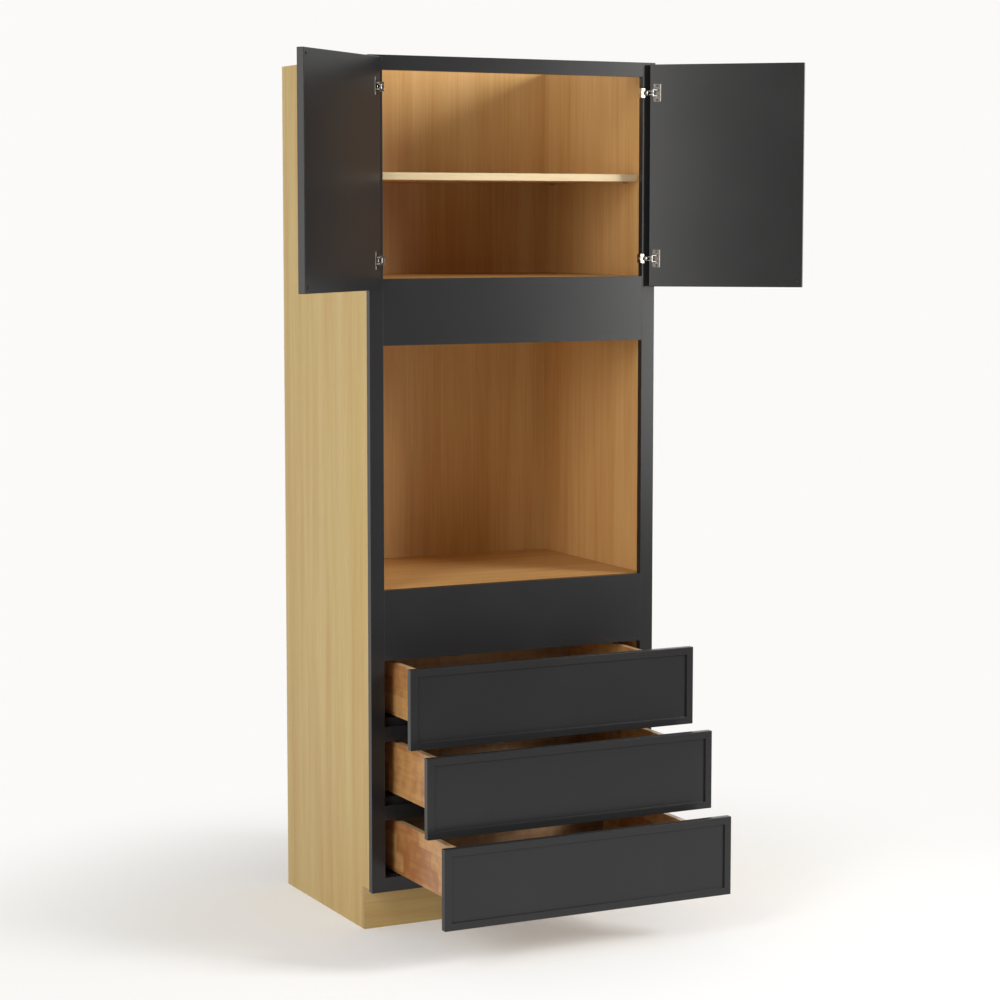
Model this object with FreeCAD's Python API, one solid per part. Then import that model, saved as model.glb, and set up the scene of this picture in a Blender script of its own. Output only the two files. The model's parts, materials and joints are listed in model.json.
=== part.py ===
import FreeCAD, Part
import os

from FreeCAD import Vector

# Tall oven pantry cabinet, in millimetres: a plywood carcass behind a hardwood face frame, a pair of
# doors on concealed hinges above, an open oven bay in the middle and three drawers below.
# The origin is on the floor, on the centre line, in the plane of the back that stands against the wall.
# +X is to the right seen from the front, +Y points into the wall, +Z is up.
# The model stands as it is shown: both doors swung open, each drawer pulled out further than the one above.

# Carcass
cabinet_width = 838.2
cabinet_height = 2286.0
cabinet_depth = 609.6
side_thickness = 12.7
back_thickness = 12.7
brace_leg = 89.0
brace_thickness = 12.7
deck_thickness = 19.05
housing_depth = 5.0
toe_height = 114.3
toe_recess = 74.2
toe_thickness = 12.7
cleat_width = 19.05
cleat_height = 38.1
oven_deck_clearance = 0.5

# Face frame, from the toe space up
frame_thickness = 19.05
frame_overhang = 9.5
stile_width = 38.1
rail_height = 38.1
lower_drawer_opening = 152.4
middle_drawer_opening = 171.45
upper_drawer_opening = 174.6
oven_base_rail_height = 184.2
oven_opening_height = 635.0
middle_rail_height = 171.4
tenon_length = 15.0
tenon_thickness = 6.4
tenon_shoulder = 6.0

# Shelf in the upper compartment
shelf_thickness = 19.05
shelf_height = 253.6
shelf_setback = 32.0
shelf_clearance = 1.5
shelf_pin_radius = 2.5
shelf_pin_depth = 8.0
shelf_pin_inset = 60.0
shelf_ledge_reach = 12.0
shelf_ledge_width = 12.0
shelf_ledge_thickness = 2.0

# Doors and drawer fronts: one piece each, with a narrow routed border on the face
panel_border = 19.0
panel_recess = 5.0
edge_radius = 1.5
door_thickness = 19.05
door_gap = 3.0
door_side_reveal = 6.35
door_top_reveal = 5.6
door_bottom_overlay = 27.75
door_meeting_gap = 3.2
bumper_radius = 4.0
bumper_clearance = 0.4
bumper_inset = 14.0

# Concealed hinge: a cup in the door, a base on the stile, and a curved link between their two pins
door_angle = 140.3
link_angle = 38.0
hinge_inset = 75.0
cup_radius = 13.0
cup_depth = 12.5
cup_wall = 0.7
cup_edge_distance = 3.5
pivot_edge_distance = 8.0
pivot_depth = 4.0
pin_span = 15.75
pin_drop = 2.4
pin_radius = 1.2
pin_clearance = 0.05
pin_tip = 0.6
ear_radius = 2.6
ear_bite = 2.6
flange_height = 46.0
flange_thickness = 1.2
flange_from_edge = 10.0
flange_to_edge = 29.4
flange_corner = 3.0
base_height = 24.5
base_thickness = 4.5
base_reach = 18.0
strap_thickness = 1.5
lug_half_width = 3.1
lug_radius = 2.2
cheek_gap = 0.3
cheek_width = 2.0
link_thickness = 2.6
link_bend = 4.6
link_eye_radius = 2.0
notch_clearance = 1.2

# Drawers
front_thickness = 19.05
front_gap = 2.0
front_side_reveal = 6.35
front_bottom_reveal = 3.0
front_height = 206.5
front_spacing = 2.0
box_side_gap = 38.1
box_lift = 42.0
box_height = 139.0
box_depth = 533.4
box_thickness = 15.9
box_bottom_thickness = 6.4
box_bottom_rise = 12.7
box_housing = 6.0
upper_pull = 210.0
middle_pull = 309.0
lower_pull = 409.0

# Undermount slides: three nested channels under each side of a drawer
slide_drop = 5.5
slide_width = 30.0
slide_wall = 1.5
slide_clearance = 0.6
slide_side_gap = 2.0
slide_setback = 2.0
fixed_channel_height = 12.0
fixed_channel_length = 520.0
fixed_channel_foot = 14.0
middle_channel_height = 11.5
middle_channel_length = 500.0
runner_lip = 3.0
runner_thickness = 19.05

# Screws
screw_radius = 1.7
screw_head_radius = 3.2
screw_head_height = 1.3
screw_length = 12.7
base_screw_overreach = 2.5
long_screw_radius = 2.0
long_screw_head_radius = 4.0
long_screw_head_height = 2.0
long_screw_bite = 10.0
screw_inset = 60.0
front_screw_spread = 200.0
front_screw_inset = 35.0
cup_screw_spread = 37.0

# Levels and planes that follow from the sizes above
front = -cabinet_depth
frame_back = front + frame_thickness
back_face = -back_thickness
half_width = cabinet_width / 2
outer_half = half_width - frame_overhang
inner_half = outer_half - side_thickness
housed_half = inner_half + housing_depth
opening_half = half_width - stile_width
lower_drawer_floor = toe_height + rail_height
lower_drawer_top = lower_drawer_floor + lower_drawer_opening
middle_drawer_floor = lower_drawer_top + rail_height
middle_drawer_top = middle_drawer_floor + middle_drawer_opening
upper_drawer_floor = middle_drawer_top + rail_height
upper_drawer_top = upper_drawer_floor + upper_drawer_opening
oven_floor = upper_drawer_top + oven_base_rail_height
oven_top = oven_floor + oven_opening_height
upper_floor = oven_top + middle_rail_height
upper_top = cabinet_height - rail_height
bottom_deck_top = toe_height + deck_thickness
shelf_bottom = upper_floor + shelf_height
door_low = upper_floor - door_bottom_overlay
door_high = cabinet_height - door_top_reveal
door_edge = half_width - door_side_reveal
cup_cavity = cup_depth - cup_wall
cheek_inner = lug_half_width + cheek_gap
cheek_outer = cheek_inner + cheek_width
hinge_heights = (door_low + hinge_inset, door_high - hinge_inset)
box_half = opening_half - box_side_gap
box_inner = box_half - box_thickness
slide_outer = box_inner - slide_side_gap
slide_inner = slide_outer - slide_width

# Plan of one left-hand hinge: u runs outwards from the stile's inner edge, v forwards from the frame
cup_pin_u = door_edge - opening_half - pivot_edge_distance
cup_pin_v = door_gap + pivot_depth
base_pin_u = cup_pin_u - pin_span
base_pin_v = cup_pin_v + pin_drop
strap_reach = base_pin_u + lug_radius


def block(x0, x1, y0, y1, z0, z1):
    """A box between two corners, which may be given in either order."""
    corner = Vector(min(x0, x1), min(y0, y1), min(z0, z1))
    return Part.makeBox(abs(x1 - x0), abs(y1 - y0), abs(z1 - z0), corner)


def rod(radius, start, end):
    """A round bar from one point to another."""
    axis = end - start
    return Part.makeCylinder(radius, axis.Length, start, axis)


def mirrored(shape):
    """The same piece on the other side of the centre line."""
    return shape.mirror(Vector(0, 0, 0), Vector(1, 0, 0))


def both_sides(shape):
    return [shape, mirrored(shape)]


def moved(shape, x=0.0, y=0.0, z=0.0):
    copy = shape.copy()
    copy.translate(Vector(x, y, z))
    return copy


def screw(seat, direction, radius, length, head_radius, head_height):
    """A pan-head screw whose head sits on the seat and whose shank runs along the direction."""
    way = Vector(direction)
    way.normalize()
    head = rod(head_radius, seat - way * head_height, seat)
    return head.fuse(rod(radius, seat, seat + way * length)).removeSplitter()


def export(name, *solids):
    shape = solids[0] if len(solids) == 1 else Part.makeCompound(list(solids))
    shape.exportStep(f"parts/{name}.step")


# Carcass panels

def side_panel():
    """Left side, notched for the toe space and grooved for every panel that is housed in it."""
    panel = block(-outer_half, -inner_half, frame_back, 0, 0, cabinet_height)
    notch_back = front + toe_recess + toe_thickness
    panel = panel.cut(block(-outer_half, -inner_half, frame_back, notch_back, 0, toe_height))
    groove = (-housed_half, -inner_half)
    panel = panel.cut(block(*groove, back_face, 0, 0, cabinet_height))
    levels = [(toe_height, bottom_deck_top), (upper_floor - deck_thickness, upper_floor)]
    for low in (drawer_low(1), drawer_low(2)):
        base = slide_base(low)
        levels.append((base - runner_thickness, base))
    for low, high in levels:
        panel = panel.cut(block(*groove, frame_back, back_face, low, high))
    for y in shelf_pin_rows():
        start = Vector(-inner_half - shelf_pin_depth, y, shelf_bottom - shelf_pin_radius)
        panel = panel.cut(rod(shelf_pin_radius, start, start + Vector(shelf_pin_depth, 0, 0)))
    return panel


def housed_panel(low, high):
    """A level panel whose ends stand in grooves in both sides."""
    return block(-housed_half, housed_half, frame_back, back_face, low, high)


def corner_brace():
    """Triangular block in the top left corner, against the side and the face frame."""
    corner = Vector(-inner_half, frame_back, cabinet_height - brace_thickness)
    across = corner + Vector(brace_leg, 0, 0)
    inside = corner + Vector(0, brace_leg, 0)
    face = Part.Face(Part.makePolygon([corner, across, inside, corner]))
    return face.extrude(Vector(0, 0, brace_thickness))


def build_carcass():
    left = side_panel()
    export("left_side_panel", left)
    export("right_side_panel", mirrored(left))
    export("back_panel", block(-housed_half, housed_half, back_face, 0, 0, cabinet_height))
    export("top_corner_braces", *both_sides(corner_brace()))
    export("upper_deck", housed_panel(upper_floor - deck_thickness, upper_floor))
    export("bottom_deck", housed_panel(toe_height, bottom_deck_top))
    toe_front = front + toe_recess
    export("toe_kick", block(-outer_half, outer_half, toe_front, toe_front + toe_thickness, 0, toe_height))
    deck_half = inner_half - oven_deck_clearance
    deck_low = oven_floor - deck_thickness
    export("oven_deck", block(-deck_half, deck_half, frame_back, back_face, deck_low, oven_floor))
    cleat_low = deck_low - cleat_height
    cleat_inner = inner_half - cleat_width
    side_cleat = block(-inner_half, -cleat_inner, frame_back, back_face, cleat_low, deck_low)
    rear_cleat = block(-cleat_inner, cleat_inner, back_face - cleat_width, back_face, cleat_low, deck_low)
    export("oven_deck_cleats", *both_sides(side_cleat), rear_cleat)


# Face frame

rails = {
    "bottom_rail": (toe_height, lower_drawer_floor),
    "lower_drawer_rail": (lower_drawer_top, middle_drawer_floor),
    "upper_drawer_rail": (middle_drawer_top, upper_drawer_floor),
    "oven_base_rail": (upper_drawer_top, oven_floor),
    "middle_rail": (oven_top, upper_floor),
    "top_rail": (upper_top, cabinet_height),
}


def tenons(low, high):
    """The two tenons of a rail, centred in the frame's thickness."""
    middle = front + frame_thickness / 2
    tenon = block(-opening_half - tenon_length, -opening_half, middle - tenon_thickness / 2,
                  middle + tenon_thickness / 2, low + tenon_shoulder, high - tenon_shoulder)
    return both_sides(tenon)


def build_face_frame():
    stile = block(-half_width, -opening_half, front, frame_back, toe_height, cabinet_height)
    for low, high in rails.values():
        stile = stile.cut(tenons(low, high)[0])
    for z in hinge_heights:
        stile = stile.cut(base_screw(z))
    export("left_stile", stile)
    export("right_stile", mirrored(stile))
    for name, (low, high) in rails.items():
        rail = block(-opening_half, opening_half, front, frame_back, low, high)
        export(name, rail.multiFuse(tenons(low, high)).removeSplitter())


# Shelf on four pins

def shelf_pin_rows():
    first = frame_back + shelf_setback + shelf_pin_inset
    last = back_face - shelf_clearance - shelf_pin_inset
    return first, last


def build_shelf():
    half = inner_half - shelf_clearance
    shelf = block(-half, half, frame_back + shelf_setback, back_face - shelf_clearance,
                  shelf_bottom, shelf_bottom + shelf_thickness)
    export("adjustable_shelf", shelf)
    pins = []
    for y in shelf_pin_rows():
        wall = Vector(-inner_half, y, shelf_bottom - shelf_pin_radius)
        end = wall + Vector(shelf_ledge_reach, 0, 0)
        pin = rod(shelf_pin_radius, wall - Vector(shelf_pin_depth, 0, 0), end)
        ledge = block(-inner_half, -inner_half + shelf_ledge_reach, y - shelf_ledge_width / 2,
                      y + shelf_ledge_width / 2, shelf_bottom - shelf_ledge_thickness, shelf_bottom)
        pins += both_sides(pin.fuse(ledge).removeSplitter())
    export("shelf_pins", *pins)


# Doors and drawer fronts

def bordered_panel(x0, x1, rear, thickness, low, high):
    """A slab with softened edges and a face routed down inside a narrow border."""
    face = rear - thickness
    slab = block(x0, x1, rear, face, low, high)
    slab = slab.makeFillet(edge_radius, slab.Edges)
    field = block(x0 + panel_border, x1 - panel_border, face, face + panel_recess,
                  low + panel_border, high - panel_border)
    return slab.cut(field)


def plan(u, v, z):
    """A point of the left-hand hinge plan."""
    return Vector(-opening_half - u, front - v, z)


def plan_block(u0, u1, v0, v1, z0, z1):
    low = plan(u0, v0, z0)
    high = plan(u1, v1, z1)
    return block(low.x, high.x, low.y, high.y, low.z, high.z)


def plan_pin(u, v, z, radius, half_length):
    return rod(radius, plan(u, v, z - half_length), plan(u, v, z + half_length))


def turned(shape, u, v, degrees):
    copy = shape.copy()
    copy.rotate(plan(u, v, 0), Vector(0, 0, 1), degrees)
    return copy


def swung_link(shape):
    """A closed link, turned about the pin of its base."""
    return turned(shape, base_pin_u, base_pin_v, link_angle)


def swung_door(shape):
    """A closed door piece, turned about the cup's pin and carried along by the link."""
    return swung_link(turned(shape, cup_pin_u, cup_pin_v, -door_angle - link_angle))


def from_edge(distance):
    """The u of a place on the door, from its distance to the hinge-side edge."""
    return cup_pin_u + pivot_edge_distance - distance


def base_screw(z):
    """Screw through the base's plate, which bites deeper into the stile than the strap reaches over it."""
    seat = plan(-base_thickness, -base_reach / 2, z)
    length = base_thickness + strap_reach + base_screw_overreach
    return screw(seat, Vector(-1, 0, 0), screw_radius, length, screw_head_radius, screw_head_height)


def hinge_base(z):
    """Plate on the stile's inner edge, strap across its front, and the lug that holds the pin."""
    low = z - base_height / 2
    high = z + base_height / 2
    plate = plan_block(-base_thickness, 0, -base_reach, strap_thickness, low, high)
    strap = plan_block(-base_thickness, strap_reach, 0, strap_thickness, low, high)
    lug = plan_block(base_pin_u - lug_radius, base_pin_u + lug_radius, 0, base_pin_v,
                     z - lug_half_width, z + lug_half_width)
    eye = plan_pin(base_pin_u, base_pin_v, z, lug_radius, lug_half_width)
    base = plate.multiFuse([strap, lug, eye]).removeSplitter()
    base = base.cut(plan_pin(base_pin_u, base_pin_v, z, pin_radius + pin_clearance, lug_half_width))
    return base.cut(base_screw(z))


def link_outline():
    """Side of the link when the door is closed, from the cup's pin to the base's pin.

    It dips under the door's edge and comes up again, so that the edge swings into the hollow.
    """
    eye = link_eye_radius
    deep = link_bend + link_thickness
    hollow_end = pivot_edge_distance + notch_clearance
    points = [(-eye, 0), (-eye, deep - link_thickness / 2), (-eye + link_thickness / 2, deep),
              (hollow_end, deep), (pin_span + eye * 0.6, pin_drop + eye * 0.8),
              (pin_span - eye * 0.6, pin_drop - eye * 0.8), (hollow_end, link_bend),
              (eye, link_bend), (eye, 0)]
    return [(cup_pin_u - across, cup_pin_v + down) for across, down in points]


def hinge_link(z):
    """Two curved cheeks on either side of the base's lug, joined by a barrel on the cup's pin."""
    outline = [plan(u, v, z + cheek_inner) for u, v in link_outline()]
    side = Part.Face(Part.makePolygon(outline + outline[:1])).extrude(Vector(0, 0, cheek_width))
    eye = Part.makeCylinder(link_eye_radius, cheek_width, plan(base_pin_u, base_pin_v, z + cheek_inner))
    upper = side.fuse(eye)
    lower = moved(upper, z=-cheek_inner - cheek_outer)
    barrel = plan_pin(cup_pin_u, cup_pin_v, z, link_eye_radius, cheek_outer)
    link = upper.multiFuse([lower, barrel]).removeSplitter()
    for pin in hinge_pins(z):
        link = link.cut(pin)
    return link


def hinge_pins(z):
    """The two pins: the link holds both, and they turn in the base's lug and in the cup's ears."""
    base_pin = plan_pin(base_pin_u, base_pin_v, z, pin_radius, cheek_outer + pin_tip)
    return [base_pin, plan_pin(cup_pin_u, cup_pin_v, z, pin_radius, cheek_outer + cheek_gap + ear_bite)]


def cup_bore(z, radius, depth):
    centre = plan(from_edge(cup_edge_distance + cup_radius), door_gap, z)
    return rod(radius, centre, centre + Vector(0, -depth, 0))


def cup_screws(z):
    middle = (flange_from_edge + flange_to_edge) / 2
    screws = []
    for side in (-1, 1):
        seat = plan(from_edge(middle), door_gap - flange_thickness, z + side * cup_screw_spread / 2)
        screws.append(screw(seat, Vector(0, -1, 0), screw_radius, screw_length,
                            screw_head_radius, screw_head_height))
    return screws


def hinge_cup(z):
    """Pressed cup with the flange that is screwed to the back of the door."""
    flange = plan_block(from_edge(flange_from_edge), from_edge(flange_to_edge), door_gap - flange_thickness,
                        door_gap, z - flange_height / 2, z + flange_height / 2)
    corners = [edge for edge in flange.Edges if abs(edge.tangentAt(edge.FirstParameter).y) > 0.5]
    flange = flange.makeFillet(flange_corner, corners)
    cup = cup_bore(z, cup_radius, cup_depth).fuse(flange).removeSplitter()
    cavity = cup_bore(z, cup_radius - cup_wall, cup_cavity + flange_thickness)
    cup = cup.cut(moved(cavity, y=flange_thickness))
    ear_start = cheek_outer + cheek_gap
    for side in (-1, 1):
        ear = plan_block(cup_pin_u - ear_radius, cup_pin_u + ear_radius, door_gap, cup_pin_v + ear_radius,
                         z + side * ear_start, z + side * cup_radius)
        cup = cup.fuse(ear.common(cup_bore(z, cup_radius, cup_depth)))
    cup = cup.removeSplitter()
    pin_reach = ear_start + ear_bite + pin_clearance
    cup = cup.cut(plan_pin(cup_pin_u, cup_pin_v, z, pin_radius + pin_clearance, pin_reach))
    for fastener in cup_screws(z):
        cup = cup.cut(fastener)
    return cup


def door_bumpers():
    """Soft dots near the free edge that meet the frame when the door shuts."""
    x = -door_meeting_gap / 2 - bumper_inset
    rear = front - door_gap
    length = door_gap - bumper_clearance
    return [rod(bumper_radius, Vector(x, rear, z), Vector(x, rear + length, z))
            for z in (door_low + bumper_inset, door_high - bumper_inset)]


def build_doors():
    slab = bordered_panel(-door_edge, -door_meeting_gap / 2, front - door_gap, door_thickness,
                          door_low, door_high)
    bases = []
    cups = []
    links = []
    pins = []
    fasteners = []
    for z in hinge_heights:
        slab = slab.cut(cup_bore(z, cup_radius, cup_depth))
        bases += both_sides(hinge_base(z))
        cups.append(hinge_cup(z))
        links.append(hinge_link(z))
        pins += hinge_pins(z)
        fasteners += cup_screws(z)
    for fastener in fasteners:
        slab = slab.cut(fastener)
    export("hinge_bases", *bases)
    pieces = {
        "door_panel": [swung_door(slab)],
        "hinge_cups": [swung_door(cup) for cup in cups],
        "cup_screws": [swung_door(fastener) for fastener in fasteners],
        "door_bumpers": [swung_door(bumper) for bumper in door_bumpers()],
        "hinge_links": [swung_link(link) for link in links],
        "hinge_pins": [swung_link(pin) for pin in pins],
    }
    for name, solids in pieces.items():
        export(f"left_{name}", *solids)
        export(f"right_{name}", *[mirrored(solid) for solid in solids])


# Drawers, numbered from the bottom: 0 lower, 1 middle, 2 upper

drawers = (("lower", lower_pull), ("middle", middle_pull), ("upper", upper_pull))


def drawer_low(index):
    """Height of a drawer front's lower edge."""
    return toe_height + front_bottom_reveal + index * (front_height + front_spacing)


def slide_base(low):
    """Height of the runner that carries a drawer's slides."""
    return low + box_lift - slide_drop


def front_screws(box_low):
    """Screws through the front of the box into the drawer front."""
    inside = front - front_gap + box_thickness
    length = box_thickness + long_screw_bite
    heights = (box_low + front_screw_inset, box_low + box_height - front_screw_inset)
    return [screw(Vector(x, inside, z), Vector(0, -1, 0), long_screw_radius, length,
                  long_screw_head_radius, long_screw_head_height)
            for x in (-front_screw_spread, front_screw_spread) for z in heights]


def channel(x0, x1, y0, y1, low, high, opens_up):
    """A three-sided channel along Y, open above or below."""
    outside = block(x0, x1, y0, y1, low, high)
    floor = low + slide_wall if opens_up else low
    ceiling = high if opens_up else high - slide_wall
    return outside.cut(block(x0 + slide_wall, x1 - slide_wall, y0, y1, floor, ceiling))


def fixed_channel(base):
    """Left channel on the runner, with a foot for its two screws under the box's side."""
    start = frame_back + slide_setback
    end = start + fixed_channel_length
    rail = channel(-slide_outer, -slide_inner, start, end, base, base + fixed_channel_height, True)
    foot = block(-slide_outer - fixed_channel_foot, -slide_outer, start, end, base, base + slide_wall)
    rail = rail.fuse(foot).removeSplitter()
    for fastener in slide_screws(base):
        rail = rail.cut(fastener)
    return rail


def slide_screws(base):
    x = -slide_outer - fixed_channel_foot / 2
    first = frame_back + slide_setback + screw_inset
    last = frame_back + slide_setback + fixed_channel_length - screw_inset
    return [screw(Vector(x, y, base + slide_wall), Vector(0, 0, -1), screw_radius, screw_length,
                  screw_head_radius, screw_head_height) for y in (first, last)]


def build_drawer(index):
    """One drawer at its pulled-out place, with the sliding channels that carry it."""
    name, pull = drawers[index]
    low = drawer_low(index)
    box_low = low + box_lift
    box_high = box_low + box_height
    bottom_low = box_low + box_bottom_rise
    bottom_high = bottom_low + box_bottom_thickness
    box_front = front - front_gap
    box_rear = box_front + box_depth
    tongue = box_inner + box_housing
    front_half = half_width - front_side_reveal
    face = bordered_panel(-front_half, front_half, box_front, front_thickness, low, low + front_height)
    bottom_start = box_front + box_thickness - box_housing
    bottom = block(-tongue, tongue, bottom_start, box_rear, bottom_low, bottom_high)
    end = block(-tongue, tongue, box_front, box_front + box_thickness, box_low, box_high)
    rear = block(-tongue, tongue, box_rear - box_thickness, box_rear, bottom_high, box_high)
    side = block(-box_half, -box_inner, box_front, box_rear, box_low, box_high)
    for housed in (end, rear, bottom):
        side = side.cut(housed)
    end = end.cut(bottom)
    fasteners = front_screws(box_low)
    for fastener in fasteners:
        face = face.cut(fastener)
        end = end.cut(fastener)
    base = slide_base(low)
    nest = slide_wall + slide_clearance
    start = frame_back + slide_setback
    middle = channel(-slide_outer + nest, -slide_inner - nest, start, start + middle_channel_length,
                     base + nest, base + nest + middle_channel_height, True)
    inner_start = box_front + box_thickness + slide_clearance
    inner = channel(-slide_outer + 2 * nest, -slide_inner - 2 * nest, inner_start, box_rear,
                    base + 2 * nest, bottom_low, False)
    pieces = {
        "front": [face],
        "box_front": [end],
        "box_back": [rear],
        "box_sides": both_sides(side),
        "bottom": [bottom],
        "slide_channels": both_sides(inner),
        "front_screws": fasteners,
    }
    for piece, solids in pieces.items():
        export(f"{name}_drawer_{piece}", *[moved(solid, y=-pull) for solid in solids])
    export(f"{name}_slide_middles", *[moved(solid, y=-pull / 2) for solid in both_sides(middle)])


def build_slide_supports():
    """Runners inside the carcass, the fixed channels on them, and the carcass's screws."""
    runners = []
    channels = []
    screws = []
    for index in range(len(drawers)):
        base = slide_base(drawer_low(index))
        on_deck = index == 0
        outside = inner_half if on_deck else housed_half
        under = bottom_deck_top if on_deck else base - runner_thickness
        runner = block(-outside, -slide_inner + runner_lip, frame_back, back_face, under, base)
        for fastener in slide_screws(base):
            runner = runner.cut(fastener)
            screws += both_sides(fastener)
        runners += both_sides(runner)
        channels += both_sides(fixed_channel(base))
    for z in hinge_heights:
        screws += both_sides(base_screw(z))
    export("drawer_runners", *runners)
    export("slide_fixed_channels", *channels)
    export("cabinet_screws", *screws)


os.makedirs("parts", exist_ok=True)
build_carcass()
build_face_frame()
build_shelf()
build_doors()
for number in range(len(drawers)):
    build_drawer(number)
build_slide_supports()
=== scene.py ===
# %% [markdown]
# # Dressing an oven pantry cabinet
# The cabinet's construction is already solid and to size: panels, face frame, doors on hinges, drawers
# on slides. This lesson gives every piece its finish, models the small fittings too fine for the solids,
# and sets up the floor, the light and the camera.

import json
import math

import bmesh
import bpy
import numpy as np
from mathutils import Matrix, Vector


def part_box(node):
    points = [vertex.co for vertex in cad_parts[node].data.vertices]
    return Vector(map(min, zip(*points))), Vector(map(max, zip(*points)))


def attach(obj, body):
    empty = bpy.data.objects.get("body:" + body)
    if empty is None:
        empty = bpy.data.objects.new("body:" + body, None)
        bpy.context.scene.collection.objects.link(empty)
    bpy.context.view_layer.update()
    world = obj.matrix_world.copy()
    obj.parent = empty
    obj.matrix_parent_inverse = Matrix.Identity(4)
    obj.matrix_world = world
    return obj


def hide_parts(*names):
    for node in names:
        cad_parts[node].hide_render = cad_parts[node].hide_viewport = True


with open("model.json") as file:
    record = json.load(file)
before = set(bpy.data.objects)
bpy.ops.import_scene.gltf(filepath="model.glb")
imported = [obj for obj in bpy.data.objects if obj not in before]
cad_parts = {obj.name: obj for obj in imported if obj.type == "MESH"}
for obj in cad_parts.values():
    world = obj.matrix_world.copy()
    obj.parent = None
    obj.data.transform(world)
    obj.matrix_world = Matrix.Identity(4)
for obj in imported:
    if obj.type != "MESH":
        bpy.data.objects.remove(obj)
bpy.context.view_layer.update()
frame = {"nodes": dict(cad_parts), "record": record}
nodes = frame["nodes"]
slot_of = {part["node"]: part["material_slot"] for part in frame["record"]["subparts"]}

# %% [markdown]
# ## Sums with sockets
# A procedural finish is mostly arithmetic: a stripe times a strength plus a base tone. Placing and wiring
# each Math node by hand hides that arithmetic. Wrapping a socket in a small class lets Python's own
# operators add the nodes, so a finish reads like the formula that it is.

# %% A socket that Python can reckon with
class Wire:
    """An output socket of a material's nodes, or just the node tree while socket is None."""

    def __init__(self, tree, socket=None):
        self.tree = tree
        self.socket = socket

    def add(self, kind, settings=None, inputs=None, output=0):
        """A new node: its settings first, then the values or links of its sockets."""
        node = self.tree.nodes.new(kind)
        for name, value in (settings or {}).items():
            setattr(node, name, value)
        for key, value in (inputs or {}).items():
            if isinstance(value, Wire):
                self.tree.links.new(value.socket, node.inputs[key])
            else:
                node.inputs[key].default_value = value
        return Wire(self.tree, node.outputs[output] if node.outputs else None)

    def reckon(self, operation, first, second=0.0):
        return self.add("ShaderNodeMath", {"operation": operation}, {0: first, 1: second})

    def __add__(self, other):
        return self.reckon("ADD", self, other)

    __radd__ = __add__

    def __sub__(self, other):
        return self.reckon("SUBTRACT", self, other)

    def __rsub__(self, other):
        return self.reckon("SUBTRACT", other, self)

    def __mul__(self, other):
        return self.reckon("MULTIPLY", self, other)

    __rmul__ = __mul__

    def __truediv__(self, other):
        return self.reckon("DIVIDE", self, other)

    def __rtruediv__(self, other):
        return self.reckon("DIVIDE", other, self)

    def floor(self):
        return self.reckon("FLOOR", self)

    def size(self):
        return self.reckon("ABSOLUTE", self)

    def fold(self, width):
        """A zigzag that climbs to the width and comes down again."""
        return self.reckon("PINGPONG", self, width)

    def ramp(self, low, high):
        """0 below low, 1 above high, and a smooth step between them."""
        settings = {"interpolation_type": "SMOOTHSTEP", "clamp": True}
        return self.add("ShaderNodeMapRange", settings, {"Value": self, "From Min": low, "From Max": high})

    def tint(self, first, second):
        """The first colour where this value is 0, the second where it is 1."""
        return self.add("ShaderNodeMix", {"data_type": "RGBA"}, {0: self, 6: first, 7: second}, output=2)


print("Wire is ready for", [name for name in vars(Wire) if not name.startswith("__")])

# %% [markdown]
# ## Places on a piece
# Object coordinates are metres in the cabinet's own frame, so a streak of 2 mm stays 2 mm on every board. A
# noise that is squeezed along one axis turns into grain along that axis. The bevel node gives what a sanded
# arris does to light: near an edge its normal leans over, and the lean itself marks the edge.

# %% Coordinates, grain and edges
AXES = ("X", "Y", "Z")
BEVEL_SAMPLES = 6
FLAT_LEAN = 0.01
EDGE_LEAN = 0.25


def rgb(red, green, blue):
    """A colour written as the eye reads it on a screen, 0 to 255, in linear light."""
    parts = [(value / 255 + 0.055) / 1.055 for value in (red, green, blue)]
    return [part ** 2.4 for part in parts] + [1.0]


def new_finish(name):
    material = bpy.data.materials.new(name)
    material.use_nodes = True
    material.node_tree.nodes.clear()
    return material, Wire(material.node_tree)


def place(finish):
    return finish.add("ShaderNodeTexCoord", output="Object")


def along(vector, axis):
    """One coordinate of a vector."""
    return vector.add("ShaderNodeSeparateXYZ", {}, {0: vector}, output=axis)


def grain(finish, axis, across, length, detail=3.0, shift=0.0):
    """Noise drawn out along one axis: streaks as wide and as long as given, in metres.

    A shift of its own keeps one layer of streaks from lying on another.
    """
    scale = [1 / across] * 3
    scale[AXES.index(axis)] = 1 / length
    where = finish.add("ShaderNodeMapping", {},
                       {"Vector": place(finish), "Location": (shift, shift, shift), "Scale": scale})
    return finish.add("ShaderNodeTexNoise", {}, {"Vector": where, "Scale": 1.0, "Detail": detail})


def mottle(finish, size, detail=2.0):
    """Soft round clouds of one size, in metres."""
    inputs = {"Vector": place(finish), "Scale": 1 / size, "Detail": detail}
    return finish.add("ShaderNodeTexNoise", {}, inputs)


def soft_normal(finish, radius):
    return finish.add("ShaderNodeBevel", {"samples": BEVEL_SAMPLES}, {"Radius": radius})


def edge_mask(finish, radius):
    """0 on flat faces, towards 1 along the edges of a piece."""
    true_normal = finish.add("ShaderNodeNewGeometry", output="Normal")
    lean = finish.add("ShaderNodeVectorMath", {"operation": "DOT_PRODUCT"},
                      {0: soft_normal(finish, radius), 1: true_normal}, output="Value")
    return (1 - lean).ramp(FLAT_LEAN, EDGE_LEAN)


def coat(finish, base, roughness, relief, depth, radius, **constants):
    """Closes a finish: a Principled surface whose relief, in metres, sits on softened edges."""
    normal = finish.add("ShaderNodeBump", {}, {"Height": relief, "Distance": depth, "Strength": 1.0,
                                               "Normal": soft_normal(finish, radius)})
    inputs = {"Base Color": base, "Roughness": roughness, "Normal": normal}
    inputs.update({name.replace("_", " "): value for name, value in constants.items()})
    surface = finish.add("ShaderNodeBsdfPrincipled", {}, inputs)
    finish.add("ShaderNodeOutputMaterial", {}, {"Surface": surface})


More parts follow.
